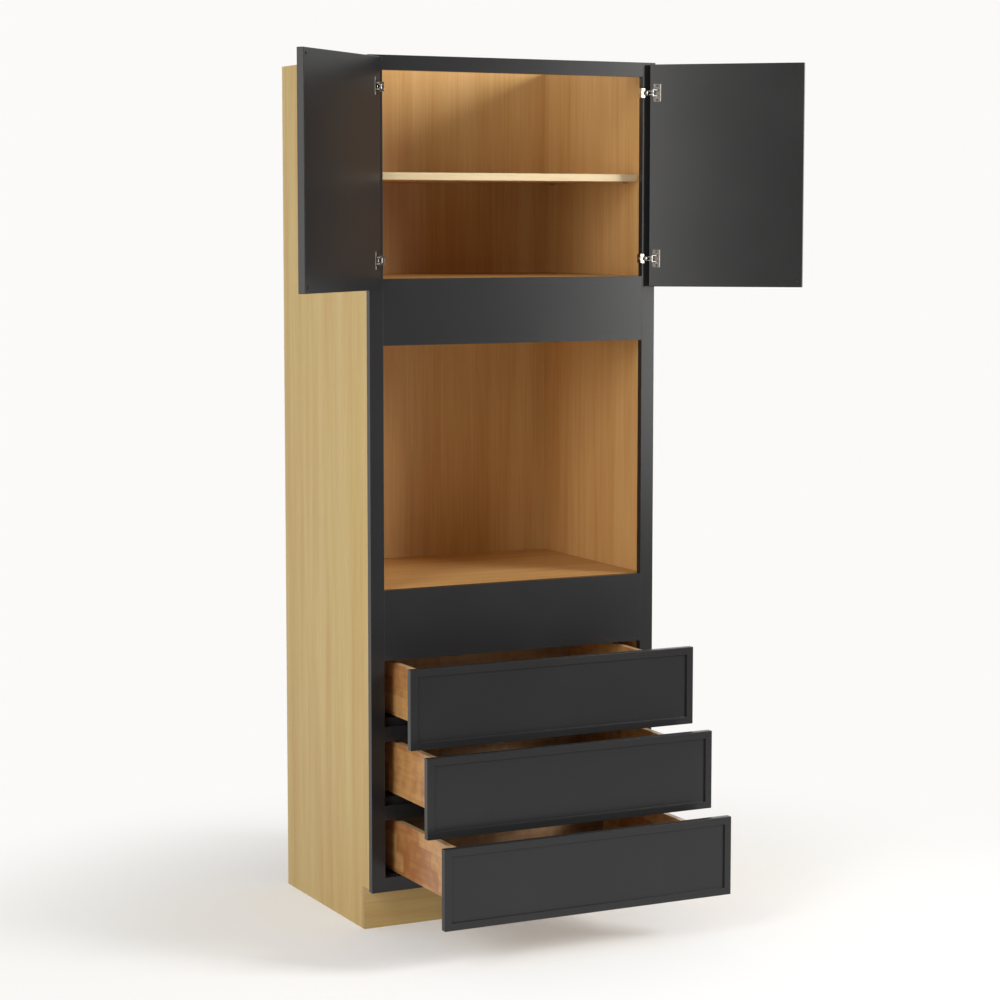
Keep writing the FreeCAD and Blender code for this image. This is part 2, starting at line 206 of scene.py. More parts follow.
print("grain can run along", AXES)

# %% [markdown]
# ## Charcoal paint
# Frame, doors and drawer fronts are sprayed hardwood: a satin charcoal that is even from a step away. Close
# up, the grain telegraphs through as fine shallow lines, the spray leaves a faint orange peel, and the arrises
# look a shade lighter: partly paint thinned by sanding, partly a painted highlight for the light that the
# rounded edges catch. All three come from noise and from the edge mask.

# %% Painted wood
CHARCOAL = rgb(38, 38, 39)
WORN_AND_HIGHLIGHT_CHARCOAL = rgb(88, 89, 88)
LINE_ACROSS, LINE_LENGTH = 0.0016, 0.09
PEEL_SIZE = 0.0025
DRIFT_SIZE = 0.25
WORN_AND_HIGHLIGHT_RADIUS = 0.0012
PAINT_RELIEF = 0.00003
PAINT_EDGE_RADIUS = 0.0010
PAINT_GLOSS = 0.30
PAINT_ROUGHNESS = 0.17


def painted_wood(axis):
    material, finish = new_finish(f"charcoal_paint_{axis}")
    lines = grain(finish, axis, LINE_ACROSS, LINE_LENGTH, detail=2.0)
    peel = mottle(finish, PEEL_SIZE)
    drift = mottle(finish, DRIFT_SIZE)
    worn_and_highlight = edge_mask(finish, WORN_AND_HIGHLIGHT_RADIUS)
    # The arrises are lighter partly from thinned paint and partly as a painted highlight of light caught by
    # rounded edges.
    base = (worn_and_highlight * 0.35 + (drift - 0.5) * 0.10).tint(CHARCOAL, WORN_AND_HIGHLIGHT_CHARCOAL)
    roughness = PAINT_ROUGHNESS + 0.06 * drift + 0.04 * peel
    relief = lines * 0.6 + peel * 0.4
    coat(finish, base, roughness, relief, PAINT_RELIEF, PAINT_EDGE_RADIUS, Specular_IOR_Level=PAINT_GLOSS)
    return material


paint = {axis: painted_wood(axis) for axis in ("X", "Z")}
print("painted wood with grain along", list(paint))

# %% [markdown]
# ## Maple veneer on plywood
# The carcass is plywood with a clear-coated maple face. Maple is quiet: broad pale bands, fine silky
# lines and a few short flecks. Where a panel is cut, its edge shows the plies, light and dark by turns. A
# panel's edge is known by its normal, and a ply by how deep it lies in the panel's thickness, so both come
# from the panel's own box.

# %% Veneered panels
# The paler maple outside and the deeper orange maple inside are painted light: direct light on the outside
# faces, warm bounced light inside the carcass.
MAPLE_OUTSIDE_LIT = (rgb(213, 189, 135), rgb(201, 172, 107))
MAPLE_INSIDE_SHADED = (rgb(213, 174, 118), rgb(196, 151, 90))
MAPLE_LINE = rgb(150, 112, 62)
MAPLE_BLUSH = rgb(188, 134, 84)
EDGE_BAND = (rgb(216, 198, 162), rgb(206, 184, 146))
PLY_DARK = rgb(150, 112, 70)
PLY_LIGHT = rgb(218, 190, 146)
PLIES = 9
INSIDE_STRENGTH = 0.55
PLY_PORES = 0.0015
VENEER_RELIEF = 0.00005
VENEER_EDGE_RADIUS = 0.0005
BAND_RELIEF = 0.00003
BAND_EDGE_RADIUS = 0.0004
VENEER_GLOSS = 0.22
VENEER_ROUGHNESS = 0.42
OUTER_HALF = {"left_side_panel": -1.0, "right_side_panel": 1.0, "toe_kick": -1.0}
BROAD_ACROSS, BROAD_LENGTH = 0.060, 1.6
SILK_ACROSS, SILK_LENGTH = 0.0060, 0.30
GRAIN_ACROSS, GRAIN_LENGTH = 0.0011, 0.06
FLECK_ACROSS, FLECK_LENGTH = 0.0014, 0.012
WARMTH_ACROSS, WARMTH_LENGTH = 0.034, 0.8


def maple(finish, axis, tones, strength=1.0):
    """The veneer's colour and fine relief, grain along one axis, lines as strong as given."""
    bands = grain(finish, axis, BROAD_ACROSS, BROAD_LENGTH, detail=2.0)
    silk = grain(finish, axis, SILK_ACROSS, SILK_LENGTH, detail=4.0, shift=3.1)
    lines = grain(finish, axis, GRAIN_ACROSS, GRAIN_LENGTH, detail=2.0, shift=7.7)
    flecks = grain(finish, axis, FLECK_ACROSS, FLECK_LENGTH, detail=1.0, shift=5.3).ramp(0.66, 0.76)
    warmth = grain(finish, axis, WARMTH_ACROSS, WARMTH_LENGTH, detail=2.0, shift=11.3)
    tone = bands * 0.55 + silk * 0.55 - 0.05
    face = tone.ramp(0.26, 0.76).tint(*tones)
    blush = (warmth.ramp(0.42, 0.75) * 0.30).tint(face, MAPLE_BLUSH)
    dark = lines.ramp(0.50, 0.80) * (0.24 * strength) + flecks * (0.18 * strength)
    return dark.tint(blush, MAPLE_LINE), lines


def veneered(node, face_axis, axis, tones=MAPLE_INSIDE_SHADED):
    """Plywood of one node, whose faces look along face_axis and whose grain runs along axis."""
    material, finish = new_finish(f"maple_{node}")
    face, lines = maple(finish, axis, tones, INSIDE_STRENGTH)
    low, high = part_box(node)
    number = AXES.index(face_axis)
    depth = (along(place(finish), number) - low[number]) / (high[number] - low[number])
    # The outer half of a side panel or the toe kick takes the paler maple, as painted light.
    outer_half = OUTER_HALF.get(node)
    if outer_half:
        lit_face, lines = maple(finish, axis, MAPLE_OUTSIDE_LIT)
        outside = (depth - 0.5) * outer_half
        face = outside.ramp(-0.1, 0.1).tint(face, lit_face)
    ply = (depth * PLIES).fold(1.0).ramp(0.4, 0.6)
    normal = finish.add("ShaderNodeTexCoord", output="Normal")
    is_edge = 1 - along(normal, number).size().ramp(0.5, 0.9)
    pores = mottle(finish, PLY_PORES)
    cut = (ply * 0.8 + pores * 0.2).tint(PLY_LIGHT, PLY_DARK)
    base = is_edge.tint(face, cut)
    roughness = VENEER_ROUGHNESS + 0.10 * lines + 0.2 * is_edge
    coat(finish, base, roughness, lines + pores * is_edge, VENEER_RELIEF, VENEER_EDGE_RADIUS,
         Specular_IOR_Level=VENEER_GLOSS)
    return material


def solid_edging():
    """Plain solid maple for the band on the shelf's front edge."""
    material, finish = new_finish("edge_band")
    face, lines = maple(finish, "X", EDGE_BAND)
    coat(finish, face, VENEER_ROUGHNESS + 0.10 * lines, lines, BAND_RELIEF, BAND_EDGE_RADIUS,
         Specular_IOR_Level=VENEER_GLOSS)
    return material


edge_band = solid_edging()
panel_faces = {
    "left_side_panel": ("X", "Z"), "right_side_panel": ("X", "Z"), "back_panel": ("Y", "Z"),
    "toe_kick": ("Y", "X"), "upper_deck": ("Z", "X"), "oven_deck": ("Z", "X"), "bottom_deck": ("Z", "X"),
    "adjustable_shelf": ("Z", "X"), "top_corner_braces": ("Z", "X"),
}
panels = {node: veneered(node, *faces) for node, faces in panel_faces.items()}
print("veneered", sorted(panels))

# %% [markdown]
# ## Solid wood for drawers and cleats
# The drawer boxes are boards glued up from short lengths: strips about 46 mm wide, each made of pieces
# that meet in zigzag finger joints, so the tone jumps from piece to piece. Rows and pieces are numbered by
# flooring coordinates, the zigzag shifts where a piece ends, and a random number picks each piece's tone.
# The ends of a drawer get greyer, darker tones than its sides: painted shade for the dim light inside the
# drawer boxes, where the ends are seen.

# %% Finger-jointed boards
STRIP_WIDTH = 0.0464
PIECE_LENGTH = 0.21
FINGER_HALF_PITCH = 0.0028
FINGER_SLOPE = 3.2
ROW_START = 0.37
ROW_SCATTER = 7.0
FIGURE_ACROSS, FIGURE_LENGTH = 0.011, 0.16
PORE_ACROSS, PORE_LENGTH = 0.0009, 0.02
BLOTCH_SIZE = 0.032
BOARD_RELIEF = 0.00006
BOARD_EDGE_RADIUS = 0.0010
BOARD_GLOSS = 0.75
BOARD_ROUGHNESS = 0.26
SIDE_TONES = (rgb(212, 162, 102), rgb(170, 110, 64))
# Painted shade: the ends are greyer and darker for the dim light inside the drawers.
END_SHADE_TONES = (rgb(186, 156, 120), rgb(140, 106, 80))
BOARD_TONES = {"X": END_SHADE_TONES, "Y": SIDE_TONES}
BOARD_PORE = rgb(110, 68, 40)
BOARD_LIT_TOP = rgb(234, 202, 160)


def jointed_board(axis):
    material, finish = new_finish(f"jointed_board_{axis}")
    where = place(finish)
    height = along(where, AXES.index("Z"))
    row = (height / STRIP_WIDTH + ROW_START).floor()
    offset = finish.add("ShaderNodeTexWhiteNoise", {"noise_dimensions": "1D"}, {"W": row})
    fingers = height.fold(FINGER_HALF_PITCH) * FINGER_SLOPE
    run = (along(where, AXES.index(axis)) + fingers) / PIECE_LENGTH + offset * ROW_SCATTER
    piece = run.floor()
    address = finish.add("ShaderNodeCombineXYZ", {}, {0: row, 1: piece})
    chance = finish.add("ShaderNodeTexWhiteNoise", {"noise_dimensions": "2D"}, {"Vector": address})
    figure = grain(finish, axis, FIGURE_ACROSS, FIGURE_LENGTH)
    pores = grain(finish, axis, PORE_ACROSS, PORE_LENGTH, detail=2.0, shift=2.2)
    blotch = mottle(finish, BLOTCH_SIZE)
    tone = chance * 0.70 + figure * 0.8 + blotch * 0.9 - 0.70
    face = tone.ramp(0.0, 1.0).tint(*BOARD_TONES[axis])
    seam = ((run - piece) - 0.5).size().ramp(0.485, 0.5)
    dark = pores.ramp(0.55, 0.80) * 0.35 + seam * 0.30
    normal = finish.add("ShaderNodeTexCoord", output="Normal")
    # Faces that look up are painted paler: a painted highlight for the light falling on the board tops.
    painted_top_light = along(normal, AXES.index("Z")).ramp(0.5, 0.9) * 0.6
    base = painted_top_light.tint(dark.tint(face, BOARD_PORE), BOARD_LIT_TOP)
    coat(finish, base, BOARD_ROUGHNESS + 0.1 * pores, pores, BOARD_RELIEF, BOARD_EDGE_RADIUS,
         Specular_IOR_Level=BOARD_GLOSS)
    return material


boards = {axis: jointed_board(axis) for axis in ("X", "Y")}
print("jointed boards along", list(boards))

# %% [markdown]
# ## Thin plywood
# The drawer bottoms are thin plywood, paler and plainer than the carcass. The same maple recipe serves, with
# tones of its own and the bottom's own box for the plies.

# %% Drawer bottoms
THIN_PLY = (rgb(210, 188, 152), rgb(194, 168, 128))

thin_nodes = [node for node in nodes if slot_of[node] == "drawer_plywood"]
bottoms = {node: veneered(node, "Z", "X", THIN_PLY) for node in thin_nodes}
print("drawer bottoms", sorted(bottoms))

# %% [markdown]
# ## Plated metal and rubber
# Hinges are nickel plated and smooth, slides are zinc plated with a faint crystal mottle, and screws sit
# between the two. A plated surface is a metal whose roughness wanders a little, so highlights break up. The
# flat flange of each hinge cup is coloured dark as a painted reflection of the dark room, with a painted
# highlight along its edges, and the cups' screws are made as dark to match. The cups' folded edges are
# satin. The door bumpers are soft clear rubber, which takes on the tone of the paint behind it.

# %% Metals and rubber
CLOUD_TO_FINE = 8
DULLED = 0.78
PLATE_RELIEF = 0.00001
PLATE_EDGE_RADIUS = 0.0003


def plated(name, colour, smooth, rough, size):
    material, finish = new_finish(name)
    cloud = mottle(finish, size)
    fine = mottle(finish, size / CLOUD_TO_FINE)
    base = (cloud * 0.5).tint(colour, [part * DULLED for part in colour[:3]] + [1.0])
    roughness = smooth + (rough - smooth) * (cloud * 0.6 + fine * 0.4)
    coat(finish, base, roughness, fine, PLATE_RELIEF, PLATE_EDGE_RADIUS, Metallic=1.0)
    return material


CUP_DARK_REFLECTION = rgb(70, 65, 60)
CUP_EDGE_HIGHLIGHT = rgb(206, 203, 196)
CUP_CLOUD = 0.004
CUP_ROUGHNESS = 0.22
CUP_EDGE_RADIUS = 0.0008


def painted_light_cup():
    """Nickel on a pressed cup, with a painted dark reflection on the flat flange and a painted highlight along
    its edges.
    """
    material, finish = new_finish("painted_light_cup")
    cloud = mottle(finish, CUP_CLOUD)
    edge_highlight = edge_mask(finish, CUP_EDGE_RADIUS)
    # Painted light: a dark reflection on the flat flange and a highlight along the edges.
    base = (edge_highlight + cloud * 0.1).tint(CUP_DARK_REFLECTION, CUP_EDGE_HIGHLIGHT)
    roughness = CUP_ROUGHNESS + 0.1 * cloud - 0.08 * edge_highlight
    coat(finish, base, roughness, cloud, PLATE_RELIEF, PLATE_EDGE_RADIUS, Metallic=1.0)
    return material


RUBBER_TONES = (rgb(44, 44, 45), rgb(38, 38, 38))
RUBBER_CLOUD = 0.002
RUBBER_RELIEF = 0.00002
RUBBER_EDGE_RADIUS = 0.0005
RUBBER_GLOSS = 0.3
RUBBER_ROUGHNESS = 0.24


def clear_rubber():
    material, finish = new_finish("clear_rubber")
    cloud = mottle(finish, RUBBER_CLOUD)
    base = cloud.tint(*RUBBER_TONES)
    coat(finish, base, RUBBER_ROUGHNESS + 0.1 * cloud, cloud, RUBBER_RELIEF, RUBBER_EDGE_RADIUS,
         Specular_IOR_Level=RUBBER_GLOSS)
    return material


metals = {
    "nickel": plated("nickel_plate", rgb(214, 211, 204), smooth=0.08, rough=0.18, size=0.004),
    "zinc_steel": plated("zinc_plate", rgb(190, 193, 196), smooth=0.28, rough=0.46, size=0.008),
    "screw_steel": plated("screw_plate", rgb(196, 196, 194), smooth=0.22, rough=0.36, size=0.003),
}
# The cup screws are coloured dark as a painted reflection, to match the cup's flange.
screw_dark_reflection = plated("screw_dark_reflection_plate", rgb(82, 78, 73), smooth=0.30, rough=0.42, size=0.003)
satin = plated("satin_nickel", rgb(230, 227, 220), smooth=0.44, rough=0.54, size=0.004)
cup_painted_light = painted_light_cup()
rubber = clear_rubber()
print("metals", list(metals))

# %% [markdown]
# ## Giving every piece its finish
# Most pieces take the finish of their material slot. Where a board's direction matters, its name tells it:
# stiles and doors run up, rails and drawer fronts run across, drawer sides run from front to back.

# %% Hand out the finishes
UPRIGHT = ("stile", "door_panel")
FRONT_TO_BACK = ("box_sides", "cleats")


def finish_for(node):
    slot = slot_of[node]
    # The drawer runners' slot is the charcoal paint: painted shade, for the deep shade under the drawer boxes
    # where they sit.
    if slot == "dark_finish":
        return paint["Z" if node.endswith(UPRIGHT) else "X"]
    if node in panels:
        return panels[node]
    if slot == "drawer_plywood":
        return bottoms[node]
    if slot in ("drawer_wood", "maple_plywood"):
        return boards["Y" if node.endswith(FRONT_TO_BACK) else "X"]
    if node.endswith("hinge_cups"):
        return cup_painted_light
    return rubber if slot == "clear_rubber" else metals[slot]


for name, piece in nodes.items():
    piece.data.materials.clear()
    piece.data.materials.append(finish_for(name))
print("dressed", len(nodes), "pieces in", len({finish_for(name).name for name in nodes}), "finishes")

# %% [markdown]
# ## Modelling by hand, in code
# The fittings are modelled the way a hand would do it: add a primitive, go into edit mode, pick faces or
# edges, and run an operator on them. The picking is what a script has to put in words, so a rule tells by
# place or normal which ones are meant. The finished piece keeps its place in its mesh, object at origin.

# %% Picking and finishing
DOORS = ("left", "right")
DRAWERS = ("lower", "middle", "upper")
NEARLY = 0.9
SMOOTH_ANGLE = math.radians(40)


def choose(*pieces):
    """Selects these pieces alone, with the last one active."""
    bpy.ops.object.select_all(action="DESELECT")
    for piece in pieces:
        piece.select_set(True)
    bpy.context.view_layer.objects.active = pieces[-1]


def join(*pieces):
    """Joins the pieces into the last one."""
    choose(*pieces)
    if len(pieces) > 1:
        bpy.ops.object.join()
    return pieces[-1]


def start_piece(name, add, **sizes):
    """A new primitive, alone in the selection."""
    bpy.ops.object.select_all(action="DESELECT")
    add(**sizes)
    piece = bpy.context.object
    piece.name = name
    bpy.ops.object.transform_apply(location=True, rotation=True, scale=True)
    return piece


def start_block(name, low, high):
    """A cube stretched between two corners."""
    low, high = Vector(low), Vector(high)
    return start_piece(name, bpy.ops.mesh.primitive_cube_add, size=1.0, location=(low + high) / 2,
                       scale=high - low)


def pick(piece, kind, rule):
    """Edit mode, with only the faces or edges selected that the rule agrees to."""
    bpy.ops.object.mode_set(mode="EDIT")
    bpy.ops.mesh.select_mode(type=kind)
    bpy.ops.mesh.select_all(action="DESELECT")
    mesh = bmesh.from_edit_mesh(piece.data)
    for item in (mesh.faces if kind == "FACE" else mesh.edges):
        item.select_set(bool(rule(item)))
    bmesh.update_edit_mesh(piece.data)


def leave_edit():
    bpy.ops.object.mode_set(mode="OBJECT")


def middle_of(edge):
    return (edge.verts[0].co + edge.verts[1].co) / 2


def soften(piece, width, segments=3, flat=False):
    """Rounds every edge that is sharper than 30 degrees, and shades the rest smooth unless it is flat."""
    bevel = piece.modifiers.new("soften", "BEVEL")
    bevel.width = width
    bevel.segments = segments
    bevel.limit_method = "ANGLE"
    bpy.ops.object.modifier_apply(modifier=bevel.name)
    if not flat:
        bpy.ops.object.shade_smooth_by_angle(angle=SMOOTH_ANGLE)


def copies(name, pattern, places):
    """Copies of a modelled piece, each turned and moved by a matrix, joined into one object."""
    made = []
    for matrix in places:
        copy = pattern.copy()
        copy.data = pattern.data.copy()
        copy.data.transform(matrix)
        bpy.context.scene.collection.objects.link(copy)
        made.append(copy)
    whole = join(*made)
    whole.name = name
    return whole


def discard(*pieces):
    for piece in pieces:
        bpy.data.objects.remove(piece)


def settle(piece, body, slot, finish, *stands_for):
    """Finish and body of a modelled piece, and the solids that it stands for; the material slot is not used.
    """
    piece.data.materials.clear()
    piece.data.materials.append(finish)
    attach(piece, body)
    if stands_for:
        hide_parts(*stands_for)
    print(piece.name, len(piece.data.polygons), "faces on", body)


print("fittings go on", len(DOORS), "doors and", len(DRAWERS), "drawers")

# %% [markdown]
# ## Where the small solids are
# A node such as the screws of a door holds several loose solids. A merged copy, parted into its loose bits,
# gives the corner points of each one. Points on a turned part lie evenly round its axis, so their mean is on
# the axis and the direction in which they spread most, or least, is the axis itself.

# %% Measure loose solids
MERGE_DISTANCE = 0.00002
NEARLY_NONE = 0.01


def loose_points(node):
    """Corner points of each loose solid of a node, in metres."""
    copy = nodes[node].copy()
    copy.data = nodes[node].data.copy()
    copy.data.transform(nodes[node].matrix_world)
    copy.parent = None
    copy.matrix_world = Matrix.Identity(4)
    bpy.context.scene.collection.objects.link(copy)
    choose(copy)
    bpy.ops.object.mode_set(mode="EDIT")
    bpy.ops.mesh.select_all(action="SELECT")
    bpy.ops.mesh.remove_doubles(threshold=MERGE_DISTANCE)
    bpy.ops.mesh.separate(type="LOOSE")
    leave_edit()
    bits = list(bpy.context.selected_objects)
    clouds = [np.array([vertex.co for vertex in bit.data.vertices]) for bit in bits]
    discard(*bits)
    return clouds


def box_middle(node):
    low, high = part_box(node)
    return (np.array(low) + np.array(high)) / 2


def spread(points):
    """Middle of a cloud of points and its three main directions, the longest spread first."""
    middle = points.mean(axis=0)
    return middle, np.linalg.svd(points - middle, full_matrices=False)[2]


def stand(foot, upwards):
    """Matrix that stands a piece modelled on the XY plane on a foot, with its Z along upwards."""
    up = Vector(upwards).normalized()
    across = Vector((0.0, 0.0, 1.0)).cross(up)
    if across.length < NEARLY_NONE:
        across = Vector((1.0, 0.0, 0.0)).cross(up)
    across.normalize()
    turn = Matrix((across, up.cross(across), up)).transposed().to_4x4()
    return Matrix.Translation(Vector(foot)) @ turn


print("loose solids in cabinet_screws:", len(loose_points("cabinet_screws")))

# %% [markdown]
# ## Cross-recess screws
# The solids have plain stubs where real pan-head screws sit. A disc becomes a pan head when its upper rim
# is bevelled in a few steps. The underside is inset to the shank's width, extruded down and scaled to a
# point, and two crossed bars are cut out of the head with a boolean. One screw of each size is modelled
# and copied to every place that the solids name.

# %% Model the screws
DRIVE_WIDTH = 0.26
DRIVE_LENGTH = 1.15
DRIVE_DEPTH = 0.62
DRIVE_TAPER = 0.6
SCREW_SIDES = 28
PAN_ROUND = 0.6
STRAIGHT_SHARE = 0.75
POINT_TAPER = 0.15
SCREW_SMOOTH_ANGLE = math.radians(35)
HEAD_MARGIN = 0.0005
SIZE_DIGITS = 4


def pan_screw(name, head, height, shank, length):
    """A screw that stands on the XY plane, head up."""
    screw = start_piece(name, bpy.ops.mesh.primitive_cylinder_add, vertices=SCREW_SIDES, radius=head,
                        depth=height, location=(0, 0, height / 2))
    pick(screw, "EDGE", lambda edge: min(corner.co.z for corner in edge.verts) > height * NEARLY)
    bpy.ops.mesh.bevel(offset=height * PAN_ROUND, offset_type="OFFSET", segments=4)
    pick(screw, "FACE", lambda face: face.normal.z < -NEARLY)
    bpy.ops.mesh.inset(thickness=head - shank)
    for share in (STRAIGHT_SHARE, 1 - STRAIGHT_SHARE):
        bpy.ops.mesh.extrude_region_move(TRANSFORM_OT_translate={"value": (0, 0, -length * share)})
    bpy.ops.transform.resize(value=(POINT_TAPER, POINT_TAPER, 1.0))
    leave_edit()
    reach = (head * DRIVE_LENGTH / 2, head * DRIVE_WIDTH / 2)
    for across, along_y in (reach, reach[::-1]):
        low_corner = (-across, -along_y, height * (1 - DRIVE_DEPTH))
        bar = start_block("drive", low_corner, (across, along_y, 2 * height))
        pick(bar, "FACE", lambda face: face.normal.z < -NEARLY)
        bpy.ops.transform.resize(value=(DRIVE_TAPER, DRIVE_TAPER, 1.0))
        leave_edit()
        cut = screw.modifiers.new("drive", "BOOLEAN")
        cut.operation = "DIFFERENCE"
        cut.object = bar
        bpy.context.view_layer.objects.active = screw
        bpy.ops.object.modifier_apply(modifier=cut.name)
        discard(bar)
    choose(screw)
    bpy.ops.object.shade_smooth_by_angle(angle=SCREW_SMOOTH_ANGLE)
    return screw


def screw_seats(node):
    """Seat of each screw's head and the way the head looks, with the head's and the shank's sizes."""
    seats = []
    for points in loose_points(node):
        centre, ways = spread(points)
        axis = ways[0]
        run = (points - centre) @ axis
        wide = np.linalg.norm(points - centre - np.outer(run, axis), axis=1)
        if run[wide.argmax()] < 0:
            axis, run = -axis, -run
        head = run[wide > wide.max() * NEARLY]
        shank = wide[run < head.min() - HEAD_MARGIN].max()
        seats.append((centre + axis * head.min(), axis, wide.max(), head.max() - head.min(), shank,
                      head.min() - run.min()))
    return seats


screw_bodies = {"cabinet_screws": "cabinet"}
screw_bodies.update({f"{side}_cup_screws": f"{side}_door" for side in DOORS})
screw_bodies.update({f"{name}_drawer_front_screws": f"{name}_drawer" for name in DRAWERS})
for node, body in screw_bodies.items():
    patterns = {}
    for seat, way, *sizes in screw_seats(node):
        sizing = tuple(round(value, SIZE_DIGITS) for value in sizes)
        patterns.setdefault(sizing, []).append(stand(seat, way))
    batches = []
    for sizing, places in patterns.items():
        pattern = pan_screw("screw", *sizing)
        batches.append(copies(f"{node}_cross_recess", pattern, places))
        discard(pattern)
    # Screws in the hinge cups take the dark plate, a painted reflection that matches the cup.
    plate = screw_dark_reflection if node.endswith("cup_screws") else metals["screw_steel"]
    settle(join(*batches[::-1]), body, "screw_steel", plate, node)

# %% [markdown]
# ## Door bumpers
# The soft dots that take the door's last knock are domed, not flat. A disc whose outer rim is bevelled over
# most of its height gives the dome. It stands on the back of the door, so its axis is the direction in which
# its points spread least, pointed away from the door panel.

# %% Model the bumpers
DOT_SIDES = 32
DOME_SHARE = 0.8


def domed_dot(radius, height):
    dot = start_piece("dot", bpy.ops.mesh.primitive_cylinder_add, vertices=DOT_SIDES, radius=radius,
                      depth=height, location=(0, 0, height / 2))
    pick(dot, "EDGE", lambda edge: min(corner.co.z for corner in edge.verts) > height * NEARLY)
    bpy.ops.mesh.bevel(offset=height * DOME_SHARE, offset_type="OFFSET", segments=6)
    leave_edit()
    bpy.ops.object.shade_smooth_by_angle(angle=SMOOTH_ANGLE)
    return dot


for side in DOORS:
    door_middle = box_middle(f"{side}_door_panel")
    places = []
    for points in loose_points(f"{side}_door_bumpers"):
        centre, ways = spread(points)
        axis = ways[2]
        if (centre - door_middle) @ axis < 0:
            axis = -axis
        run = (points - centre) @ axis
        wide = np.linalg.norm(points - centre - np.outer(run, axis), axis=1).max()
        places.append(stand(centre + axis * run.min(), axis))
    dot = domed_dot(wide, run.max() - run.min())
    domes = copies(f"{side}_bumper_domes", dot, places)
    discard(dot)
    settle(domes, f"{side}_door", "clear_rubber", rubber, f"{side}_door_bumpers")

# %% [markdown]
# ## Shelf edge band
# The shelf's front edge is covered with a thin strip of solid maple, so no plies show there. The strip is a
# block whose two long front edges are rounded, as glue-on edging is after sanding.

# %% Model the edge band
BAND_THICKNESS = 0.0006
BAND_ROUND = 0.8 * BAND_THICKNESS
SAME_PLACE = 1e-5

low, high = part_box("adjustable_shelf")
band = start_block("shelf_edge_band", (low[0], low[1] - BAND_THICKNESS, low[2]), (high[0], low[1], high[2]))
pick(band, "EDGE", lambda edge: abs(middle_of(edge).y - low[1] + BAND_THICKNESS) < SAME_PLACE)
bpy.ops.mesh.bevel(offset=BAND_ROUND, offset_type="OFFSET", segments=3)
leave_edit()
bpy.ops.object.shade_smooth_by_angle(angle=SMOOTH_ANGLE)
settle(band, "cabinet", "maple_plywood", edge_band)

# %% [markdown]
# ## Wings of the hinge cups
# A pressed hinge cup has folded edges that stand up from its flange: a rim along the far side, and two short
# wings beside the opening that the link comes out of. They catch the light, while the flat flange shows the
# dark room as a painted dark reflection in its colour. The rim is lower in its middle, where it passes over
# the base's strap when the door shuts.

# %% Model the wings
FLANGE = 0.0012
RIM_OVERHANG = 0.0002
RIM_WIDTH = 0.0012
RIM_HEIGHT = 0.0026
RIM_LOW = 0.0013
RIM_NOTCH = 0.0135
RIM_ROUND = 0.0002
WING_WIDTH = 0.0034
WING_OFFSET = 0.0080
WING_START = 0.0039
WING_LENGTH = 0.0136
WING_ROUND = 0.0011
WING_HEIGHT = 0.0025
WING_TAPER = 0.92


def cup_trim(half_height, reach):
    """Rim and wings round a cup: X runs from the hinge's edge to the far side, Y up, Z off the door."""
    end = reach + RIM_OVERHANG
    rim = start_block("rim", (end - RIM_WIDTH, -half_height, 0), (end, half_height, RIM_LOW))
    for sign in (-1, 1):
        pick(rim, "FACE", lambda face: face.normal.z > NEARLY)
        bpy.ops.mesh.bisect(plane_co=(0, sign * RIM_NOTCH, 0), plane_no=(0, 1, 0))
    pick(rim, "FACE", lambda face: face.normal.z > NEARLY and abs(face.calc_center_median().y) > RIM_NOTCH)
    bpy.ops.mesh.extrude_region_move(TRANSFORM_OT_translate={"value": (0, 0, RIM_HEIGHT - RIM_LOW)})
    leave_edit()
    soften(rim, RIM_ROUND, flat=True)
    wing = start_block("wing", (WING_START, -WING_WIDTH / 2, 0),
                       (WING_START + WING_LENGTH, WING_WIDTH / 2, WING_HEIGHT))
    pick(wing, "FACE", lambda face: face.normal.z > NEARLY)
    bpy.ops.transform.resize(value=(WING_TAPER, 1.0, 1.0))
    leave_edit()
    soften(wing, WING_ROUND, segments=4)
    wings = copies("wings", wing, [Matrix.Translation((0, sign * WING_OFFSET, 0)) for sign in (-1, 1)])
    discard(wing)
    return join(rim, wings)


def broad_side(node, towards):
    """Normal of a panel's broadest face, turned to the side on which a point lies."""
    face = max(nodes[node].data.polygons, key=lambda polygon: polygon.area)
    normal = np.array(face.normal)
    return normal if (towards - box_middle(node)) @ normal >= 0 else -normal


for side in DOORS:
    panel = f"{side}_door_panel"
    places = []
    for points in loose_points(f"{side}_hinge_cups"):
        centre = points.mean(axis=0)
        off_door = broad_side(panel, centre)
        inwards = np.cross([0, 0, 1], off_door)
        if (box_middle(panel) - centre) @ inwards < 0:
            inwards = -inwards
        run = points @ inwards
        height = points[:, 2]
        half = (height.max() - height.min()) / 2
        reach = run.max() - run.min()
        foot = inwards * run.min() + off_door * (points @ off_door).max()
        foot[2] = height.mean()
        upright = np.cross(off_door, inwards)
        turn = Matrix(np.stack([inwards, upright, off_door], axis=1).tolist()).to_4x4()
        places.append(Matrix.Translation(Vector(foot - off_door * FLANGE)) @ turn)
    trim = cup_trim(half, reach)
    trims = copies(f"{side}_cup_trim", trim, places)
    discard(trim)
    settle(trims, f"{side}_door", "nickel", satin)

# %% [markdown]
# ## Floor and surroundings
# The cabinet stands on a pale studio floor that runs out into white. The floor takes the soft shadows near
# the cabinet, and further away it turns into the colour of the surroundings, so no horizon shows. Mirrored
# in the dark paint, the floor far in front is dim, as in a studio where only the set is lit.

